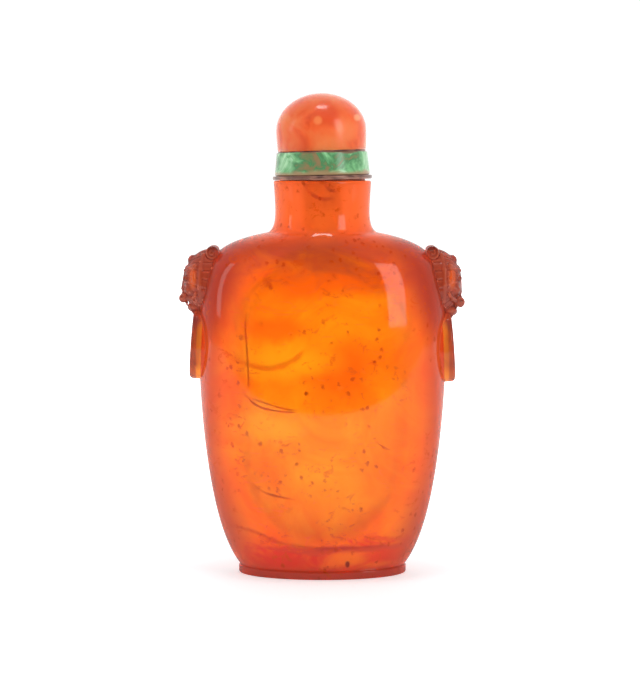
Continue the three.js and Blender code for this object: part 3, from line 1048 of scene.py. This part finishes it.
def paper_material():
    """White paper that glows a little behind the bottle."""
    s = Shader("paper")
    x, y, z = s.axes()
    glow = s.mix(s.span(y, 30, 140), (0.3, 0.3, 0.3), (1, 1, 1))
    stops = [(0.3, (0.77, 0.79, 0.81)), (0.7, (0.79, 0.81, 0.83))]
    s.set(Base_Color=s.ramp(s.noise(s.place(), 40, 2), stops), Roughness=0.9,
          Emission_Color=glow, Emission_Strength=1.4)
    return s.material


# Studio

# The photo's size and the bottle's middle and foot in it, in pixels, and how large a pixel is
PHOTO_W, PHOTO_H = 640, 686
MIDDLE_PIXEL, FOOT_PIXEL = 322.4, 573.5
PIXEL = 0.158
CAMERA_AWAY, CAMERA_UP = 350, 65
SENSOR = 36
# The white sheet under the bottle, whose front edge shows in the amber's reflections, and the floor round it
SHEET_FRONT, SHEET_SIDE = 135, 600
FLOOR_SIDE, FLOOR_DROP = 1200, 0.1
SINK = 0.02
# How bright the surroundings are towards -Y (-1) through the sides (0) to +Y (1), where a small spot is
# a little dimmer, and how bright the backdrop is that the camera sees
SURROUNDINGS = [(-1, 0.14), (-0.78, 0.16), (-0.5, 0.6), (0.0, 0.4), (0.9922, 1.4914), (1, 1.25)]
BACKDROP = 1.1


def place_camera():
    """The photo's view: from in front and a little above the middle."""
    camera = bpy.data.objects.new("camera", bpy.data.cameras.new("camera"))
    bpy.context.scene.collection.objects.link(camera)
    bpy.context.scene.camera = camera
    aim = Vector((PHOTO_W / 2 - MIDDLE_PIXEL, 0, FOOT_PIXEL - PHOTO_H / 2)) * PIXEL * MM
    camera.location = (aim.x, -CAMERA_AWAY * MM, CAMERA_UP * MM)
    direction = aim - camera.location
    camera.rotation_euler = direction.to_track_quat("-Z", "Y").to_euler()
    camera.data.sensor_fit = "HORIZONTAL"
    camera.data.sensor_width = SENSOR
    camera.data.lens = SENSOR * direction.length / (PHOTO_W * PIXEL * MM)
    camera.data.clip_start = 0.01


def light_surroundings():
    """A world that is dark in front, bright behind, and plain white where the camera sees it."""
    world = bpy.data.worlds.new("studio")
    bpy.context.scene.world = world
    world.use_nodes = True
    tree = world.node_tree
    coords = tree.nodes.new("ShaderNodeTexCoord")
    split = tree.nodes.new("ShaderNodeSeparateXYZ")
    tree.links.new(coords.outputs["Generated"], split.inputs["Vector"])
    spread = tree.nodes.new("ShaderNodeMapRange")
    spread.inputs["From Min"].default_value = -1
    tree.links.new(split.outputs["Y"], spread.inputs["Value"])
    ramp = tree.nodes.new("ShaderNodeValToRGB")
    greys = [(0.5 + 0.5 * facing, (level, level, level)) for facing, level in SURROUNDINGS]
    set_stops(ramp.color_ramp, greys)
    tree.links.new(spread.outputs["Result"], ramp.inputs["Fac"])
    path = tree.nodes.new("ShaderNodeLightPath")
    seen = tree.nodes.new("ShaderNodeMix")
    seen.data_type = "RGBA"
    tree.links.new(path.outputs["Is Camera Ray"], seen.inputs[0])
    tree.links.new(ramp.outputs["Color"], seen.inputs[6])
    seen.inputs[7].default_value = (BACKDROP, BACKDROP, BACKDROP, 1)
    tree.links.new(seen.outputs[2], tree.nodes["Background"].inputs["Color"])


def softbox(name, azimuth, elevation, away, width, height, radiance):
    """A rectangle of light aimed at the bottle's middle. Sizes are in metres, angles in degrees."""
    light = bpy.data.lights.new(name, "AREA")
    light.shape = "RECTANGLE"
    light.size, light.size_y = width, height
    light.energy = radiance * math.pi * width * height
    box = bpy.data.objects.new(name, light)
    bpy.context.scene.collection.objects.link(box)
    turn, rise = math.radians(azimuth), math.radians(elevation)
    middle = Vector((0, 0, 0.04))
    towards = Vector((math.sin(turn) * math.cos(rise), -math.cos(turn) * math.cos(rise), math.sin(rise)))
    box.location = middle + away * towards
    box.rotation_euler = (-towards).to_track_quat("-Z", "Y").to_euler()
    return box


def lay_floor(name, low, high, level, material):
    """A flat rectangle on the floor, from one corner to the opposite one."""
    mesh = bpy.data.meshes.new(name)
    corners = ((low[0], low[1]), (high[0], low[1]), (high[0], high[1]), (low[0], high[1]))
    mesh.from_pydata([(x * MM, y * MM, level * MM) for x, y in corners], [], [(0, 1, 2, 3)])
    mesh.materials.append(material)
    ground = bpy.data.objects.new(name, mesh)
    bpy.context.scene.collection.objects.link(ground)
    return ground


def studio():
    bpy.context.scene.view_settings.view_transform = "Standard"
    bpy.context.scene.view_settings.look = "None"
    place_camera()
    light_surroundings()
    softbox("softbox_right", 47, 18, 1.0, 0.3, 0.62, 3.4)
    softbox("softbox_left", -84, 18, 1.0, 0.14, 0.6, 2.2)
    softbox("softbox_top", 0, 86, 0.8, 0.22, 0.14, 11.0)
    softbox("fill", 0, 22, 1.0, 0.9, 0.6, 1.0).visible_glossy = False
    paper = paper_material()
    lay_floor("sheet", (-SHEET_SIDE, -SHEET_FRONT), (SHEET_SIDE, SHEET_SIDE), -SINK, paper)
    wide = lay_floor("floor", (-FLOOR_SIDE, -FLOOR_SIDE), (FLOOR_SIDE, FLOOR_SIDE), -SINK - FLOOR_DROP, paper)
    wide.visible_glossy = False


# Assembly

studio()
horn = horn_material()

bottle = make_bottle(amber_material())
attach(bottle, "root")
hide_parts("amber_bottle")

disc = turned("lip_disc", eased(DISC_R, DISC_R, DISC_H, 0.15), 128, horn)
collar = turned("stone_collar", eased(COLLAR_LOW, COLLAR_HIGH, COLLAR_H, 0.2), 128, green_material())
cap = make_cap(coral_material())
plug = make_cork(cork_material())
for piece, node, slot, lift, extra in (
    (disc, "horn_disc", "horn", 0, 0),
    (collar, "green_collar", "green_stone", COLLAR_LIFT, 0),
    (cap, "coral_cap", "coral", CAP_LIFT, CAP_TILT),
    (plug, "cork", "cork", -STOPPER_GAP, 0),
):
    piece.data.transform(stopper_place(lift, extra))
    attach(piece, "root")
    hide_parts(node)

bite = STOPPER_GAP / 2
lip_plane = Matrix.Translation((0, 0, (HEIGHT + 0.01) * MM))
collar_top = COLLAR_LIFT + COLLAR_H
# Thin dark sheets in the gaps between the stopper's pieces: painted shade
for name, radius, low, high in (
    ("gap_shade_lower", 6.7, lip_plane, stopper_place(0)),
    ("gap_shade_middle", 7.3, stopper_place(DISC_H - bite), stopper_place(COLLAR_LIFT + bite)),
    ("gap_shade_upper", 6.85, stopper_place(collar_top - bite), stopper_place(CAP_LIFT + bite, CAP_TILT)),
):
    shade_sheet = gap_shade(name, radius, low, high, horn)
    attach(shade_sheet, "root")

for grain in make_inclusions(bark_material(), haze_material()):
    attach(grain, "root")
